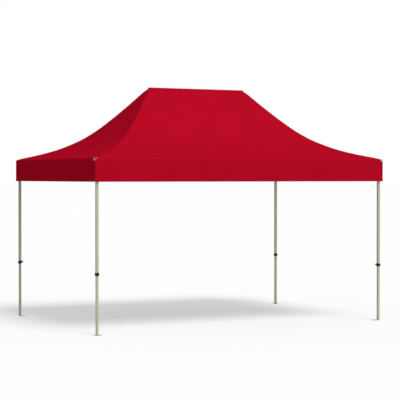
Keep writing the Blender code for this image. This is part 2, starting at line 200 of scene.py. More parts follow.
@dataclass(frozen=True)
class WovenPolyester:
    """Coated polyester canvas, woven and dyed: matt, with a faint sheen at grazing angles.

    The real threads are about 0.5 mm apart, which no view here can show, so the weave is drawn
    at 5 mm. The dye is a little uneven over a hand's breadth or more. The inside face carries
    painted shade: it is drawn darker, which also dims the red light that it bounces onto the
    floor's shadow.
    """

    name: str = "woven_polyester"
    bright: str = "#BE0D28"
    deep: str = "#B00B24"
    inside_shade: str = "#7A0C1C"
    thread_mm: float = 5.0
    weave_strength: float = 0.12
    weave_depth_mm: float = 0.4
    mottle_mm: float = 380.0
    mottle_detail: float = 3.0
    roughness: float = 0.82
    specular: float = 0.0
    sheen: float = 0.03
    sheen_roughness: float = 0.5

    def material(self) -> bpy.types.Material:
        """Build the weave on the cloth's own UV map, which is in metres."""
        bench = Bench(self.name)
        sheet = add_node(bench.tree, "ShaderNodeUVMap", uv_map=CLOTH_MAP).outputs["UV"]
        threads = [bench.bands(sheet, self.thread_mm, way) for way in ("X", "Y")]
        weave = add_math(bench.tree, "ADD", threads[0], threads[1])
        cloud = bench.noise(bench.spot(), self.mottle_mm, self.mottle_detail)
        dye = bench.blend(cloud, self.deep, self.bright)
        # Painted shade: the back faces, which are the canopy's inside, take the darker inside
        # colour.
        inside_shade_mask = add_node(bench.tree, "ShaderNodeNewGeometry").outputs["Backfacing"]
        return bench.surface({
            "Base Color": bench.blend(inside_shade_mask, dye, self.inside_shade), "Roughness": self.roughness,
            "Normal": bench.bump(weave, self.weave_strength, self.weave_depth_mm),
            "Sheen Weight": self.sheen, "Sheen Tint": linear(self.bright),
            "Sheen Roughness": self.sheen_roughness, "Specular IOR Level": self.specular})


@dataclass(frozen=True)
class SpunThread:
    """Polyester sewing thread along the hem, drawn darker than the cloth: partly its own colour and
    partly painted shade along the stitch line. Its fine slanted bands are painted light and shade
    on the twisted plies.
    """

    name: str = "spun_thread_painted_shade"
    bright: str = "#9C0B20"
    deep: str = "#7A0818"
    ply_shade_mm: float = 1.5
    roughness: float = 0.6

    def material(self) -> bpy.types.Material:
        """Build the painted light and shade of the twist as slanted bands."""
        bench = Bench(self.name)
        # Painted light and shade: slanted light and dark bands, as light falls on the thread's
        # twisted plies.
        ply_shade = bench.bands(bench.spot(), self.ply_shade_mm, "DIAGONAL")
        return bench.surface({"Base Color": bench.blend(ply_shade, self.deep, self.bright),
                              "Roughness": self.roughness})


@dataclass(frozen=True)
class PowderCoat:
    """Baked powder coat on steel or aluminium: an even satin skin with a slight orange peel.

    Where plate_top is given, what lies below it is bare zinc plate, as on a foot.
    """

    name: str = "powder_coat"
    bright: str = "#CFCDB6"
    deep: str = "#C6C4AC"
    peel_mm: float = 2.0
    peel_detail: float = 2.0
    peel_strength: float = 0.1
    peel_depth_mm: float = 0.1
    mottle_mm: float = 90.0
    mottle_detail: float = 4.0
    roughness: float = 0.42
    roughness_range: float = 0.06
    plate: str = "#B4B3AC"
    plate_top: float | None = None

    def material(self) -> bpy.types.Material:
        """Build the coat, with the bare plate under it where there is one."""
        bench = Bench(self.name)
        spot = bench.spot()
        peel = bench.noise(spot, self.peel_mm, self.peel_detail)
        cloud = bench.noise(spot, self.mottle_mm, self.mottle_detail)
        paint = bench.blend(cloud, self.deep, self.bright)
        gloss = add_node(bench.tree, "ShaderNodeMapRange", {
            "Value": cloud, "To Min": self.roughness - self.roughness_range,
            "To Max": self.roughness + self.roughness_range})
        values = {"Base Color": paint, "Roughness": gloss.outputs[0],
                  "Normal": bench.bump(peel, self.peel_strength, self.peel_depth_mm)}
        if self.plate_top is not None:
            height = add_node(bench.tree, "ShaderNodeSeparateXYZ", {0: spot})
            bare = add_math(bench.tree, "LESS_THAN", height.outputs["Z"], self.plate_top)
            values["Base Color"] = bench.blend(bare, paint, self.plate)
            values["Metallic"] = bare
        return bench.surface(values)


@dataclass(frozen=True)
class MouldedNylon:
    """Glass filled nylon from a spark eroded mould: dull, with a fine grain, black unless dyed."""

    name: str = "moulded_nylon"
    bright: str = "#181818"
    deep: str = "#0F0F0F"
    grain_mm: float = 1.2
    grain_detail: float = 3.0
    grain_strength: float = 0.2
    grain_depth_mm: float = 0.1
    roughness: float = 0.5
    specular: float = 0.2

    def material(self) -> bpy.types.Material:
        """Build the grain as colour and bump."""
        bench = Bench(self.name)
        grain = bench.noise(bench.spot(), self.grain_mm, self.grain_detail)
        return bench.surface({
            "Base Color": bench.blend(grain, self.deep, self.bright), "Roughness": self.roughness,
            "Specular IOR Level": self.specular,
            "Normal": bench.bump(grain, self.grain_strength, self.grain_depth_mm)})


@dataclass(frozen=True)
class DrawnAluminium:
    """Bare metal, drawn or rolled: satin, with faint lines along its length."""

    name: str = "drawn_aluminium"
    bright: str = "#B9B9B6"
    deep: str = "#A5A5A2"
    line_mm: float = 1.0
    line_detail: float = 2.0
    line_strength: float = 0.08
    line_depth_mm: float = 0.1
    stretch: float = 60.0
    roughness: float = 0.36

    def material(self) -> bpy.types.Material:
        """Build the draw lines as a noise that is stretched upwards."""
        bench = Bench(self.name)
        stretched = add_node(bench.tree, "ShaderNodeMapping", {
            "Vector": bench.spot(), "Scale": (1.0, 1.0, 1.0 / self.stretch)})
        lines = bench.noise(stretched.outputs["Vector"], self.line_mm, self.line_detail)
        return bench.surface({
            "Base Color": bench.blend(lines, self.deep, self.bright), "Metallic": 1.0,
            "Roughness": self.roughness,
            "Normal": bench.bump(lines, self.line_strength, self.line_depth_mm)})


CANVAS = WovenPolyester()
SHADED_THREAD = SpunThread()
BAR_COAT = PowderCoat(name="powder_coat_bar")
LEG_COAT = PowderCoat(name="powder_coat_leg", bright="#C5C3AB", deep="#BBB9A1")
FOOT_COAT = PowderCoat(name="powder_coat_leg_on_zinc_foot", bright="#C5C3AB", deep="#BBB9A1",
                       plate="#A3A29B", plate_top=0.0055)
BLACK_NYLON = MouldedNylon()
GREY_NYLON = MouldedNylon(name="moulded_nylon_grey", bright="#A9A8A2", deep="#989791",
                          roughness=0.45, specular=0.5)
RED_NYLON = MouldedNylon(name="moulded_nylon_red", bright="#C3201F", deep="#AE1A1A",
                         roughness=0.38, specular=0.5)
POST_METAL = DrawnAluminium()
RIVET_METAL = DrawnAluminium(name="rolled_steel_rivet", bright="#A8A8A6", deep="#8E8E8C",
                             roughness=0.32)


@dataclass
class PaintShop:
    """Keeps one material for each finish, and puts finishes on CAD nodes."""

    weld_mm: float = 0.02
    edge_segments: int = 2
    edge_angle: float = 40.0
    made: dict[str, bpy.types.Material] = field(default_factory=dict)

    def material(self, finish: Finish) -> bpy.types.Material:
        """Give a finish's material, made on first use."""
        if finish.name not in self.made:
            self.made[finish.name] = finish.material()
        return self.made[finish.name]

    def dress_node(self, node: str, finish: Finish, edge: float) -> None:
        """Put a finish on a CAD node and break its sharp edges.

        Args:
            node: The node's name.
            finish: The finish.
            edge: The width of the broken edge.
        """
        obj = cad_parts[node]
        obj.data.materials.clear()
        obj.data.materials.append(self.material(finish))
        weld = obj.modifiers.new("weld", "WELD")
        weld.merge_threshold = self.weld_mm * MILLIMETRE
        bevel = obj.modifiers.new("edge", "BEVEL")
        bevel.width = edge
        bevel.segments = self.edge_segments
        bevel.limit_method = "ANGLE"
        bevel.angle_limit = math.radians(self.edge_angle)


SHOP = PaintShop()


def new_mesh(name: str, points: Sequence[Any], edges: Sequence[Any] = (),
             faces: Sequence[Any] = ()) -> bpy.types.Mesh:
    """Make a mesh of points, loose edges and faces, and give it."""
    mesh = bpy.data.meshes.new(name)
    mesh.from_pydata([tuple(map(float, p)) for p in points], [tuple(map(int, e)) for e in edges],
                     [tuple(map(int, f)) for f in faces])
    return mesh


def link_object(name: str, data: bpy.types.ID) -> bpy.types.Object:
    """Make an object of a mesh, a light or a camera, put it in the scene, and give it."""
    obj =bpy.data.objects.new(name, data)
    bpy.context.scene.collection.objects.link(obj)
    return obj


def smooth(mesh: bpy.types.Mesh) -> None:
    """Shade a mesh smooth."""
    mesh.polygons.foreach_set("use_smooth", [True] * len(mesh.polygons))


def node_output(mesh: bpy.types.Mesh, tree: Tree, values: dict[str, Any]) -> bpy.types.Mesh:
    """Run a geometry tree on a mesh and give the plain mesh that it makes.

    Args:
        mesh: The mesh that has the points or the line.
        tree: The geometry tree.
        values: The value of each of the tree's named inputs.

    Returns:
        The mesh.
    """
    obj = link_object(mesh.name, mesh)
    modifier = obj.modifiers.new("nodes", "NODES")
    modifier.node_group = tree
    for item in tree.interface.items_tree:
        if item.item_type == "SOCKET" and item.in_out == "INPUT" and item.name in values:
            modifier[item.identifier] = values[item.name]
    graph = bpy.context.evaluated_depsgraph_get()
    made = bpy.data.meshes.new_from_object(obj.evaluated_get(graph))
    obj.modifiers.clear()
    bpy.data.objects.remove(obj)
    return made


def new_geometry_tree(name: str, sizes: Sequence[str]) -> tuple[Tree, bpy.types.Node]:
    """Make a geometry tree with named sizes and a material, and give it and its input node."""
    tree = bpy.data.node_groups.new(name, "GeometryNodeTree")
    inputs = [("Geometry", "NodeSocketGeometry")]
    inputs += [(size, "NodeSocketFloat") for size in sizes]
    inputs += [("Material", "NodeSocketMaterial")]
    for label, kind in inputs:
        tree.interface.new_socket(label, in_out="INPUT", socket_type=kind)
    tree.interface.new_socket("Geometry", in_out="OUTPUT", socket_type="NodeSocketGeometry")
    return tree, add_node(tree, "NodeGroupInput")


def end_geometry_tree(tree: Tree, start: bpy.types.Node, instances: Socket) -> Tree:
    """End a tree in its instances, made real and given its material, and give the tree."""
    real = add_node(tree, "GeometryNodeRealizeInstances", {"Geometry": instances})
    dressed = add_node(tree, "GeometryNodeSetMaterial", {
        "Geometry": real.outputs[0], "Material": start.outputs["Material"]})
    add_node(tree, "NodeGroupOutput", {"Geometry": dressed.outputs[0]})
    return tree


def dome_tree() -> Tree:
    """Make the tree that sets a domed head on each point, along its axis attribute."""
    tree, start = new_geometry_tree("domed_heads", ("Radius", "Height"))
    dome = add_node(tree, "GeometryNodeMeshUVSphere", {
        "Segments": DOME_SEGMENTS, "Rings": DOME_RINGS, "Radius": 1.0})
    axis = add_node(tree, "GeometryNodeInputNamedAttribute", {"Name": "axis"},
                    data_type="FLOAT_VECTOR")
    turn = add_node(tree, "FunctionNodeAlignRotationToVector", {
        "Vector": axis.outputs["Attribute"]}, axis="Z")
    size = add_node(tree, "ShaderNodeCombineXYZ", {
        "X": start.outputs["Radius"], "Y": start.outputs["Radius"], "Z": start.outputs["Height"]})
    spots = add_node(tree, "GeometryNodeMeshToPoints", {"Mesh": start.outputs["Geometry"]})
    heads = add_node(tree, "GeometryNodeInstanceOnPoints", {
        "Points": spots.outputs[0], "Instance": dome.outputs["Mesh"],
        "Rotation": turn.outputs[0], "Scale": size.outputs[0]})
    return end_geometry_tree(tree, start, heads.outputs[0])


def stitch_tree() -> Tree:
    """Make the tree that lays stitches along a line."""
    tree, start = new_geometry_tree("hem_stitches", ("Pitch", "Length", "Radius"))
    line = add_node(tree, "GeometryNodeMeshToCurve", {"Mesh": start.outputs["Geometry"]})
    even = add_node(tree, "GeometryNodeResampleCurve", {
        "Curve": line.outputs[0], "Length": start.outputs["Pitch"]}, mode="LENGTH")
    along = add_node(tree, "GeometryNodeInputTangent")
    turn = add_node(tree, "FunctionNodeAlignRotationToVector", {
        "Vector": along.outputs[0]}, axis="Z")
    thread = add_node(tree, "GeometryNodeMeshCylinder", {
        "Vertices": STITCH_SIDES, "Radius": start.outputs["Radius"],
        "Depth": start.outputs["Length"]})
    laid = add_node(tree, "GeometryNodeInstanceOnPoints", {
        "Points": even.outputs[0], "Instance": thread.outputs["Mesh"],
        "Rotation": turn.outputs[0]})
    return end_geometry_tree(tree, start, laid.outputs[0])


class Side(Enum):
    """A side of the canopy: its name, the way along it from its left end, and the way out."""

    FRONT = ("front", (1.0, 0.0), (0.0, -1.0))
    RIGHT = ("right", (0.0, 1.0), (1.0, 0.0))
    BACK = ("back", (-1.0, 0.0), (0.0, 1.0))
    LEFT = ("left", (0.0, -1.0), (-1.0, 0.0))

    def __init__(self, label: str, along: tuple[float, float], out: tuple[float, float]) -> None:
        """Keep the side's name and its two ways."""
        self.label = label
        self.along = along
        self.out = out

    @property
    def is_long(self) -> bool:
        """Whether it is one of the two long sides, which run along X."""
        return self.along[0] != 0.0


class Band(Enum):
    """A level of the canopy that is cut as one row of panels."""

    PEAK = "peak"
    UPPER = "upper"
    MIDDLE = "middle"
    LOWER = "lower"
    VALANCE = "valance"


@dataclass
class Row:
    """One level line of the canopy, from the ridge down to the hem.

    Attributes:
        half_x: Half of the line's length along X.
        half_y: Half of its length along Y.
        z: Its height.
        open: How far the right end of each side's cloth is cut back from the corner.
        sway: How much of the valance's wave reaches it.
        band: The row of panels that it is in.
    """

    half_x: float
    half_y: float
    z: float
    open: float
    sway: float
    band: Band


@dataclass
class Grid:
    """Points by row and column, the sheet's normals, and the places on the flat cloth."""

    points: np.ndarray
    normals: np.ndarray
    flat: np.ndarray

    def part(self, rows: slice, columns: slice) -> "Grid":
        """Cut out some rows and columns."""
        return Grid(self.points[rows, columns], self.normals[rows, columns],
                    self.flat[rows, columns])


@dataclass
class Canopy:
    """The sewn roof and valance: one curved sheet, cut into panels."""

    body: str = "hub_left"
    # The ridge, and the roof's curve from it out to the eave: heights from 1 to 0 at even steps,
    # and lifts at some shares of the way, which fit the curve to the outline in the photograph.
    ridge_half_length: float = 0.772
    ridge_half_width: float = 0.030
    ridge_caps: tuple[float, ...] = (0.0, 0.35, 0.7)
    ridge_share: float = -1.0
    profile: tuple[float, ...] = (1.0, 0.842, 0.677, 0.521, 0.381, 0.274, 0.196, 0.131, 0.081,
                                  0.038, 0.0)
    lift_shares: tuple[float, ...] = (0.0, 0.03, 0.065, 0.1, 0.13, 0.18, 0.28, 0.43, 0.5, 0.65,
                                      0.84, 0.92, 0.97, 1.0)
    lifts: tuple[float, ...] = (0.019, 0.0112, 0.002, 0.0, 0.0, 0.004, 0.010, 0.016, 0.013, 0.007,
                                0.008, 0.010, 0.008, 0.0)
    roof_steps: int = 36
    eave_insets: tuple[float, ...] = (0.045, 0.03, 0.015, 0.005)
    smoothing: tuple[float, float, float] = (0.25, 0.5, 0.25)
    smooth_rows: int = 5
    smooth_passes: int = 2
    band_ends: tuple[tuple[Band, float], ...] = ((Band.PEAK, 0.16), (Band.UPPER, 0.34),
                                                 (Band.MIDDLE, 0.63))
    # The valance: how far down its first lines are and how far out, its hem, and its wave, as
    # the size, rate and start of each sine.
    valance_drop: float = 0.307
    eave_lines: tuple[tuple[float, float], ...] = ((0.0015, -0.0015), (0.006, 0.0), (0.02, 0.0),
                                                   (0.036, 0.0))
    valance_steps: int = 6
    hem_width: float = 0.028
    hem_proud: float = 0.0014
    hem_step: float = 0.0006
    hem_round: float = 0.002
    hem_turn: float = 0.010
    sway: float = 0.0025
    sway_power: float = 1.5
    waves: tuple[tuple[float, float, float], ...] = ((1.0, 23.0, 1.0), (0.6, 41.0, 2.6))
    # The panels, the hip seams between the sides, and the open corner at the eave.
    long_panels: int = 8
    short_panels: int = 6
    panel_columns: int = 8
    least_area: float = 0.3
    merge_digits: int = 6
    no_length: float = 1e-12
    no_normal: float = 1e-9
    seam_columns: int = 2
    seam_share: float = 0.0035
    seam_spread: float = 1.15
    seam_proud: float = 0.0012
    corner_open: float = 0.034
    corner_rise: float = 0.045
    corner_drop: float = 0.030
    # The stitches, on the line along the middle of the hem, which is counted from the last row.
    stitch_row: int = -4
    stitch_pitch: float = 0.009
    stitch_length: float = 0.006
    stitch_radius: float = 0.0006
    stitch_lift: float = 0.4
    # The fold that crumple works out a fold line for: where its middle is, how much of the open
    # roof's size it keeps, how high the roof's panels would lie in it, and how thick a panel would
    # stay.
    fold_x: float = -0.672
    fold_shares: tuple[float, float] = (0.125, 0.165)
    fold_top: float = 2.395
    fold_keep: float = 0.12
    fold_passes: int = 6
    half_x: float = field(init=False)
    half_y: float = field(init=False)
    hem_z: float = field(init=False)
    ridge_z: float = field(init=False)
    rows: list[Row] = field(default_factory=list)
    tree: Tree = field(default_factory=stitch_tree)

    def __post_init__(self) -> None:
        """Take the outer sizes from the CAD canopy."""
        low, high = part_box("canopy")
        self.half_x, self.half_y = high.x, high.y
        self.hem_z, self.ridge_z = low.z, high.z

    @property
    def eave_z(self) -> float:
        """Height of the fold between roof and valance."""
        return self.hem_z + self.valance_drop

    def level(self, share: float) -> float:
        """Give the roof's height on a smooth curve through the profile.

        Args:
            share: How far out the point is, from 0 at the ridge to 1 at the eave.

        Returns:
            The height.
        """
        steps = len(self.profile) - 1
        values = np.array(self.profile)
        slopes = np.gradient(values)
        i = min(int(share * steps), steps - 1)
        t = share * steps - i
        bend = ((2 * t ** 3 - 3 * t ** 2 + 1) * values[i] + (t ** 3 - 2 * t ** 2 + t) * slopes[i]
                + (3 * t ** 2 - 2 * t ** 3) * values[i + 1] + (t ** 3 - t ** 2) * slopes[i + 1])
        return self.eave_z + (self.ridge_z - self.eave_z) * float(bend)

    def roof_band(self, share: float) -> Band:
        """Give the row of panels that a share of the way out is in."""
        return next((band for band, end in self.band_ends if share < end), Band.LOWER)

    def lay_roof(self) -> None:
        """Work out the roof's level lines, with a rounded ridge and a soft eave."""
        run_x = self.half_x - self.ridge_half_length
        run_y = self.half_y - self.ridge_half_width
        lines: list[tuple[float, float, float, float]] = []
        for cap in self.ridge_caps:
            inset = self.ridge_half_width * (1.0 - cap)
            lines.append((self.ridge_half_length - inset, self.ridge_half_width - inset,
                          self.ridge_z, self.ridge_share))
        shares = [i / self.roof_steps for i in range(self.roof_steps - 1)]
        shares += [1.0 - inset / run_y for inset in self.eave_insets]
        for share in shares:
            lines.append((self.ridge_half_length + run_x * share,
                          self.ridge_half_width + run_y * share, self.level(share), share))
        heights = [z + float(np.interp(share, self.lift_shares, self.lifts))
                   for _, _, z, share in lines]
        for _ in range(self.smooth_passes):
            for i in range(1, self.smooth_rows + 1):
                heights[i] = sum(w * z for w, z in zip(self.smoothing, heights[i - 1:i + 2]))
        for (half_x, half_y, _, share), z in zip(lines, heights):
            away = (1.0 - share) * run_y
            cut = self.corner_open * max(0.0, 1.0 - away / self.corner_rise)
            self.rows.append(Row(half_x, half_y, z, cut, 0.0, self.roof_band(share)))

    def lay_valance(self) -> None:
        """Work out the valance's level lines, down to the folded hem and round it."""
        fall, hem = self.valance_drop, self.hem_width
        start = self.eave_lines[-1][0]
        lines = list(self.eave_lines)
        lines += [(start + (fall - hem - start) * i / self.valance_steps, 0.0)
                  for i in range(1, self.valance_steps + 1)]
        lines += [(fall - hem + self.hem_step, self.hem_proud), (fall - hem * 0.5, self.hem_proud),
                  (fall - self.hem_round, self.hem_proud), (fall, 0.0),
                  (fall - self.hem_turn, -self.hem_proud)]
        for down, proud in lines:
            cut = self.corner_open * max(0.0, 1.0 - down / self.corner_drop)
            self.rows.append(Row(self.half_x + proud, self.half_y + proud, self.eave_z - down, cut,
                                 (down / fall) ** self.sway_power, Band.VALANCE))

    def columns(self, panels: int) -> np.ndarray:
        """Give the places of a side's columns, from 0 to 1, with close pairs at the hip seams."""
        even = np.linspace(0.0, 1.0, panels * self.panel_columns + 1)
        seam = np.array([self.seam_share, self.seam_share * self.seam_spread])
        return np.concatenate(([0.0], seam, even[1:-1], 1.0 - seam[::-1], [1.0]))

    def panel_count(self, side: Side) -> int:
        """Give the number of panels along a side."""
        return self.long_panels if side.is_long else self.short_panels

    def side_points(self, side: Side) -> np.ndarray:
        """Work out one side's points by row and column, before its seams are lapped."""
        along, out = np.array([*side.along, 0.0]), np.array([*side.out, 0.0])
        places = self.columns(self.panel_count(side))
        wave = sum(size * np.sin(places * rate + start) for size, rate, start in self.waves)
        wave = wave * np.sin(math.pi * places)
        points = np.zeros((len(self.rows), len(places), 3))
        for r, row in enumerate(self.rows):
            half, reach = (row.half_x, row.half_y) if side.is_long else (row.half_y, row.half_x)
            spots = (2.0 * places - 1.0) * half
            spots = spots - np.maximum(0.0, row.open - (half - spots))
            points[r] = (spots[:, None] * along
                         + (reach + self.sway * row.sway * wave)[:, None] * out + row.z * UP)
        return points

    def sheet_normals(self, points: np.ndarray) -> np.ndarray:
        """Give a sheet's normals. Where a seam's columns meet, the next inner one lends its own."""
        normals = np.cross(np.gradient(points, axis=0), np.gradient(points, axis=1))
        lengths = np.linalg.norm(normals, axis=2, keepdims=True)
        normals = np.where(lengths > self.no_length,
                           normals / np.maximum(lengths, self.no_length), UP)
        for i in range(self.seam_columns, -1, -1):
            for column, inner in ((i, i + 1), (-1 - i, -2 - i)):
                lost = lengths[:, column, 0] < self.no_normal
                normals[lost, column] = normals[lost, inner]
        return normals

    def side_grid(self, side: Side) -> Grid:
        """Work out one side. Both sides of a hip move their edges alike, so no slit opens."""
        along, out = np.array([*side.along, 0.0]), np.array([*side.out, 0.0])
        points = self.side_points(side)
        normals = self.sheet_normals(points)
        for column in (1, -2):
            points[:, column] += normals[:, column] * self.seam_proud
        for column, turn in ((0, -1.0), (-1, 1.0)):
            leaning = (normals[:, column] @ out)[:, None]
            hip = leaning * (out + turn * along) + 2.0 * normals[:, column, 2:] * UP
            points[:, column] += hip / np.linalg.norm(hip, axis=1, keepdims=True) * self.seam_proud
        flat = np.zeros(points.shape[:2] + (2,))
        flat[..., 0] = points @ along
        flat[1:, :, 1] = np.cumsum(np.linalg.norm(np.diff(points, axis=0), axis=2), axis=0)
        return Grid(points, normals, flat)

    def panel(self, name: str, grid: Grid) -> tuple[bpy.types.Object, float]:
        """Make one panel of the sheet.

        Args:
            name: The panel's name.
            grid: Its part of the side.

        Returns:
            The panel and its cloth's area.
        """
        rows, columns = grid.points.shape[:2]
        number: dict[tuple[float, ...], int] = {}
        index = np.zeros((rows, columns), int)
        kept: list[tuple[int, int]] = []
        for r in range(rows):
            for c in range(columns):
                key = tuple(np.round(grid.points[r, c], self.merge_digits))
                if key not in number:
                    number[key] = len(kept)
                    kept.append((r, c))
                index[r, c] = number[key]
        faces = []
        for r in range(rows - 1):
            for c in range(columns - 1):
                ring = [index[r, c], index[r + 1, c], index[r + 1, c + 1], index[r, c + 1]]
                face = [p for i, p in enumerate(ring) if p != ring[i - 1]]
                if len(face) > 2:
                    faces.append(face)
        mesh = new_mesh(name, [grid.points[spot] for spot in kept], faces=faces)
        mesh.materials.append(SHOP.material(CANVAS))
        cloth = mesh.uv_layers.new(name=CLOTH_MAP)
        for loop in mesh.loops:
            cloth.data[loop.index].uv = grid.flat[kept[loop.vertex_index]]
        smooth(mesh)
        mesh.normals_split_custom_set_from_vertices([tuple(grid.normals[spot]) for spot in kept])
        return link_object(name, mesh), sum(p.area for p in mesh.polygons)

    def stitches(self, panel: bpy.types.Object, points: np.ndarray,
                 out: Sequence[float]) -> bpy.types.Object:
        """Sew a line of stitches along the middle of a panel's hem.

        Args:
            panel: The panel.
            points: The panel's points along that line.
            out: The way out of its side.

        Returns:
            The stitches, as one piece.
        """
        lift = np.array([*out, 0.0]) * self.stitch_radius * self.stitch_lift
        line = new_mesh("stitch_line", points + lift,
                        edges=[(i, i + 1) for i in range(len(points) - 1)])
        sewn = node_output(line, self.tree, {
            "Pitch": self.stitch_pitch, "Length": self.stitch_length,
            "Radius": self.stitch_radius, "Material": SHOP.material(SHADED_THREAD)})
        piece = link_object(f"stitches_{panel.name}", sewn)
        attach(piece, self.body)
        return piece

    def fold_line(self, centre: np.ndarray, target: np.ndarray) -> tuple[np.ndarray, np.ndarray]:
        """Give the way and the point to which a panel flattens to bring its centre to a target."""
        far = float(np.linalg.norm(target - centre))
        way = (target - centre) / far
        return way, centre + way * far / (1.0 - self.fold_keep)

    def crumple(self, pieces: Sequence[bpy.types.Object], band: Band) -> None:
        """Work out the line along which a panel would flatten into the folded frame, and give the
        panel and what is sewn on it their own meshes. The points are not moved.

        Args:
            pieces: The panel, and then what is sewn on it.
            band: Its row of panels.
        """
        spots = np.array([v.co for v in pieces[0].data.vertices])
        centre = 0.5 * (spots.min(axis=0) + spots.max(axis=0))
        core = np.array([self.fold_x, 0.0])
        shares = np.array(self.fold_shares)
        target = np.array([*(core + shares * centre[:2]), centre[2]])
        way, anchor = self.fold_line(centre, target)
        ring = shares * np.array([self.half_x, self.half_y])
        for _ in range(0 if band is Band.VALANCE else self.fold_passes):
            folded = spots - (1.0 - self.fold_keep) * ((spots - anchor) @ way)[:, None] * way
            low, high = folded.min(axis=0), folded.max(axis=0)
            middle = 0.5 * (low + high)[:2] - core
            room = np.maximum(ring - 0.5 * (high - low)[:2], 0.0)
            target[:2] += np.clip(middle, -room, room) - middle
            target[2] += self.fold_top - high[2]
            way, anchor = self.fold_line(centre, target)
        for piece in pieces:
            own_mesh(piece)

    def sew(self, side: Side, band: Band, number: int, grid: Grid) -> bpy.types.Object:
        """Cut one panel out of a side, hem it and hang it.

        Args:
            side: The side.
            band: The row of panels.
            number: The panel's number along the side, from 0.
            grid: The side's grid.

        Returns:
            The panel.
        """
        levels = [row.band for row in self.rows]
        first = max(levels.index(band) - 1, 0)
        last = len(levels) - levels[::-1].index(band)
        seam = self.seam_columns
        left = 0 if number == 0 else seam + number * self.panel_columns
        right = seam + (number + 1) * self.panel_columns
        if number == self.panel_count(side) - 1:
            right += seam
        part = grid.part(slice(first, last), slice(left, right + 1))
        panel, area = self.panel(f"canopy_{side.label}_{number + 1}_{band.value}", part)
        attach(panel, self.body)
        pieces = [panel]
        if band is Band.VALANCE:
            pieces.append(self.stitches(panel, part.points[self.stitch_row], side.out))
        self.crumple(pieces, band)
        return panel

    def build(self) -> None:
        """Sew the canopy."""
        self.lay_roof()
        self.lay_valance()
        panels: list[bpy.types.Object] = []
        for side in Side:
            grid = self.side_grid(side)
            for band in Band:
                panels += [self.sew(side, band, number, grid)
                           for number in range(self.panel_count(side))]
        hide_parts("canopy")
        LOG.info("canopy: %d panels, hemmed", len(panels))


@dataclass
class DomeSetter:
    """Sets domed heads on a body: rivets, and the inserts of the knobs."""

    tree: Tree = field(default_factory=dome_tree)

    def set_domes(self, name: str, places: Sequence[Any], axis: Any, size: tuple[float, float],
                  finish: Finish, body: str) -> bpy.types.Object:
        """Set a dome on each place.

        Args:
            name: The piece's name.
            places: The middle of each dome's foot.
            axis: The way that the domes point.
            size: Their radius and height.
            finish: Their finish.
            body: The body that they ride on.

        Returns:
            The domes, as one piece.
        """
        spots = new_mesh("dome_spots", places)
        for item in spots.attributes.new("axis", "FLOAT_VECTOR", "POINT").data:
            item.vector = tuple(map(float, axis))
        heads = node_output(spots, self.tree, {
            "Radius": size[0], "Height": size[1], "Material": SHOP.material(finish)})
        smooth(heads)
        piece = link_object(name, heads)
        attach(piece, body)
        return piece


@dataclass
class ScissorFrame:
    """The crossed bars with their rivets."""

    domes: DomeSetter
    edge: float = 0.0012
    # How far a bar's outer pivots are from its ends.
    end: float = 0.015
    rivet_size: tuple[float, float] = (0.0070, 0.0032)
    level_digits: int = 5

    def middle_plane(self, bar: str) -> tuple[int, float]:
        """Give the plane of the legs, or of the ridge, that a bar's side stands in.

        Args:
            bar: The bar's node.

        Returns:
            The axis that the plane is square to, and its place on that axis.
        """
        side = bar.split("_")[1]
        low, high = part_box("leg_upper_back_right")
        leg = 0.5 * (low + high)
        planes = {"front": (1, -leg.y), "back": (1, leg.y), "left": (0, -leg.x),
                  "right": (0, leg.x)}
        return planes.get(side, (1, 0.0))

    def rivets(self, bar: str) -> bpy.types.Object:
        """Set a rivet head at each of a bar's three pivots, on the face away from its plane.

        Args:
            bar: The bar's node.

        Returns:
            The rivets, as one piece.
        """
        spots = np.array([v.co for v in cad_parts[bar].data.vertices])
        thin, plane = self.middle_plane(bar)
        run = 1 - thin
        low, high = spots.min(axis=0), spots.max(axis=0)
        middle = 0.5 * (low + high)
        first = spots[spots[:, run] < low[run] + self.end].mean(axis=0)
        last = spots[spots[:, run] > high[run] - self.end].mean(axis=0)
        slope = (last[2] - first[2]) / (last[run] - first[run])
        levels, counts = np.unique(np.round(spots[:, thin], self.level_digits), return_counts=True)
        flats = sorted(levels[np.argsort(counts)[-2:]])
        away = 1.0 if 0.5 * (flats[0] + flats[1]) > plane else -1.0
        outward = np.zeros(3)
        outward[thin] = away
        places = []
        for along in (low[run] + self.end, middle[run], high[run] - self.end):
            place = np.zeros(3)
            place[thin] = flats[1] if away > 0.0 else flats[0]
            place[run] = along
            place[2] = middle[2] + slope * (along - middle[run])
            places.append(place)
        return self.domes.set_domes(f"rivets_{bar}", places, outward, self.rivet_size, RIVET_METAL,
                                    bar)

    def build(self) -> None:
        """Dress each bar and rivet it."""
        bars = sorted(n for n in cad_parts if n.startswith("bar_"))
        for bar in bars:
            SHOP.dress_node(bar, BAR_COAT, self.edge)
            self.rivets(bar)
        LOG.info("frame: %d bars with their rivets", len(bars))


@dataclass
class RidgeTruss:
    """The hubs, tees and peak posts along the middle."""

    edge: float = 0.0008

    def build(self) -> None:
        """Dress the brackets and the posts."""
        for node in sorted(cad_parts):
            if node.startswith(("hub_", "tee_")):
                SHOP.dress_node(node, BLACK_NYLON, self.edge)
            elif node.startswith("post_"):
                SHOP.dress_node(node, POST_METAL, self.edge)
        LOG.info("ridge: hubs, tees and posts")


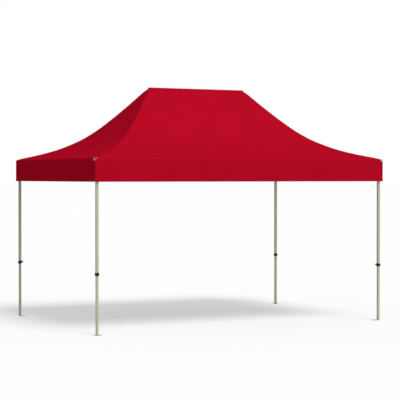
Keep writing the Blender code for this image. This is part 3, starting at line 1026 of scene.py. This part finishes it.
@dataclass
class Corner:
    """One leg with its slider, collar, knob and bracket, at the right end of a canopy side."""

    tag: str
    side: Side
    domes: DomeSetter
    edge: float = 0.0006
    insert_size: tuple[float, float] = (0.0042, 0.0016)
    # The bracket's nose: its ends, inwards from the corner, how far it reaches in under the
    # cloth and out of the side, how far its top leans in, and its foot and top from the eave.
    nose_span: tuple[float, float] = (0.003, 0.034)
    nose_depth: float = 0.034
    nose_proud: float = 0.016
    nose_lean: float = 0.018
    nose_low: float = 0.026
    nose_high: float = 0.007
    nose_round: float = 0.004
    nose_segments: int = 3

    def nose(self, canopy: Canopy) -> bpy.types.Object:
        """Make the bracket's nose, which shows through the open corner of the cloth.

        Args:
            canopy: The canopy, whose corner the nose fills.

        Returns:
            The nose.
        """
        along, out = np.array(self.side.along), np.array(self.side.out)
        corner = (along + out) * np.array([canopy.half_x, canopy.half_y])
        near, far = self.nose_span
        back = -self.nose_depth
        mesh = bmesh.new()
        corners = []
        for z, proud in ((canopy.eave_z - self.nose_low, self.nose_proud),
                         (canopy.eave_z + self.nose_high, self.nose_proud - self.nose_lean)):
            for inward, outward in ((near, back), (far, back), (far, proud), (near, proud)):
                place = corner - along * inward + out * outward
                corners.append(mesh.verts.new((*place, z)))
        for face in BOX_FACES:
            mesh.faces.new([corners[i] for i in face])
        bmesh.ops.bevel(mesh, geom=mesh.edges[:], offset=self.nose_round,
                        segments=self.nose_segments, profile=ROUND_PROFILE, affect="EDGES")
        bmesh.ops.recalc_face_normals(mesh, faces=mesh.faces)
        data = bpy.data.meshes.new(f"bracket_nose_{self.tag}")
        mesh.to_mesh(data)
        mesh.free()
        data.materials.append(SHOP.material(GREY_NYLON))
        piece = link_object(f"bracket_nose_{self.tag}", data)
        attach(piece, f"leg_{self.tag}")
        return piece

    def insert(self) -> bpy.types.Object:
        """Set the red insert in the face of the collar's knob."""
        low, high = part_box(f"collar_knob_{self.tag}")
        leg_low, leg_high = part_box(f"leg_upper_{self.tag}")
        off = 0.5 * (low + high) - 0.5 * (leg_low + leg_high)
        run = 0 if abs(off.x) > abs(off.y) else 1
        axis = np.zeros(3)
        axis[run] = 1.0 if off[run] > 0.0 else -1.0
        place = np.array(0.5 * (low + high))
        place[run] = high[run] if off[run] > 0.0 else low[run]
        return self.domes.set_domes(f"knob_insert_{self.tag}", [place], axis, self.insert_size,
                                    RED_NYLON, f"collar_knob_{self.tag}")

    def build(self, canopy: Canopy) -> None:
        """Dress the corner's nodes, and add its bracket nose and knob insert.

        Args:
            canopy: The canopy over the corner.
        """
        SHOP.dress_node(f"leg_upper_{self.tag}", LEG_COAT, self.edge)
        SHOP.dress_node(f"leg_lower_{self.tag}", FOOT_COAT, self.edge)
        for part in ("slider", "collar", "collar_knob"):
            SHOP.dress_node(f"{part}_{self.tag}", BLACK_NYLON, self.edge)
        SHOP.dress_node(f"slider_button_{self.tag}", RED_NYLON, self.edge)
        self.nose(canopy)
        self.insert()
        LOG.info("corner: %s", self.tag)


@dataclass(frozen=True)
class Lamp:
    """A broad light from far away. Angles are in degrees, and its bearing counts from +X to +Y."""

    name: str
    strength: float
    height: float
    bearing: float
    spread: float


@dataclass
class Studio:
    """The pale floor, the soft light and the camera of the photograph."""

    floor_half: float = 400.0
    floor_colour: str = "#D3D3D3"
    floor_lift: float = 0.455
    ambient: float = 0.26
    lamps: tuple[Lamp, ...] = (Lamp("overhead_light", 1.91, 56.0, -85.0, 28.0),
                               Lamp("front_light", 0.62, 18.0, -45.0, 40.0))
    lamp_distance: float = 20.0
    lens_mm: float = 126.38
    sensor_mm: float = 36.0
    clip_end: float = 2000.0
    camera_place: tuple[float, float, float] = (-9.3298, -18.4517, 2.0872)
    camera_pitch: float = -0.964
    camera_yaw: float = 26.973

    def add_sun(self, lamp: Lamp) -> None:
        """Add a lamp."""
        data = bpy.data.lights.new(lamp.name, "SUN")
        data.energy = lamp.strength
        data.angle = math.radians(lamp.spread)
        height, bearing = math.radians(lamp.height), math.radians(lamp.bearing)
        source = Vector((math.cos(height) * math.cos(bearing),
                         math.cos(height) * math.sin(bearing), math.sin(height)))
        obj = link_object(lamp.name, data)
        obj.rotation_euler = source.to_track_quat("Z", "Y").to_euler()
        obj.location = source * self.lamp_distance

    def add_floor(self) -> None:
        """Lay the floor, which looks white to the camera and keeps the shadow."""
        half = self.floor_half
        corners = [(x * half, y * half, 0.0) for x, y in ((-1, -1), (1, -1), (1, 1), (-1, 1))]
        mesh = new_mesh("studio_floor", corners, faces=[(0, 1, 2, 3)])
        bench = Bench("studio_paper")
        lift = add_math(bench.tree, "MULTIPLY", ray_is(bench.tree, "Camera", "Glossy"),
                        self.floor_lift)
        paper = add_node(bench.tree, "ShaderNodeBsdfDiffuse", {
            "Color": linear(self.floor_colour)})
        glow = add_node(bench.tree, "ShaderNodeEmission", {"Strength": lift})
        both = add_node(bench.tree, "ShaderNodeAddShader", {
            0: paper.outputs[0], 1: glow.outputs[0]})
        mesh.materials.append(bench.close(both))
        floor = link_object("studio_floor", mesh)

    def add_world(self) -> None:
        """Set an even light all round, which is white where it is seen."""
        world = bpy.data.worlds.new("studio")
        world.use_nodes = True
        tree = world.node_tree
        tree.nodes.clear()
        strength = add_node(tree, "ShaderNodeMapRange", {
            "Value": ray_is(tree, "Camera", "Glossy", "Transmission"), "To Min": self.ambient,
            "To Max": 1.0})
        sky = add_node(tree, "ShaderNodeBackground", {
            "Color": linear("#FFFFFF"), "Strength": strength.outputs[0]})
        add_node(tree, "ShaderNodeOutputWorld", {"Surface": sky.outputs[0]})
        bpy.context.scene.world = world

    def add_camera(self) -> None:
        """Set the camera where the photograph was taken from."""
        data = bpy.data.cameras.new("camera")
        data.lens = self.lens_mm
        data.sensor_width = self.sensor_mm
        data.clip_end = self.clip_end
        camera = link_object("camera", data)
        camera.location = self.camera_place
        camera.rotation_euler = (math.radians(90.0 + self.camera_pitch), 0.0,
                                 math.radians(-self.camera_yaw))
        bpy.context.scene.camera = camera

    def build(self) -> None:
        """Set up the studio."""
        self.add_camera()
        self.add_world()
        self.add_floor()
        for lamp in self.lamps:
            self.add_sun(lamp)
        bpy.context.scene.view_settings.view_transform = "Standard"
        LOG.info("studio: floor, light and camera")


def main() -> None:
    """Build the gazebo's looks."""
    logging.basicConfig(level=logging.INFO, format="%(name)s %(message)s")
    Studio().build()
    canopy = Canopy()
    canopy.build()
    domes = DomeSetter()
    ScissorFrame(domes).build()
    RidgeTruss().build()
    for tag, side in (("front_left", Side.LEFT), ("front_right", Side.FRONT),
                      ("back_right", Side.RIGHT), ("back_left", Side.BACK)):
        Corner(tag, side, domes).build(canopy)


if __name__ == "__main__":
    main()
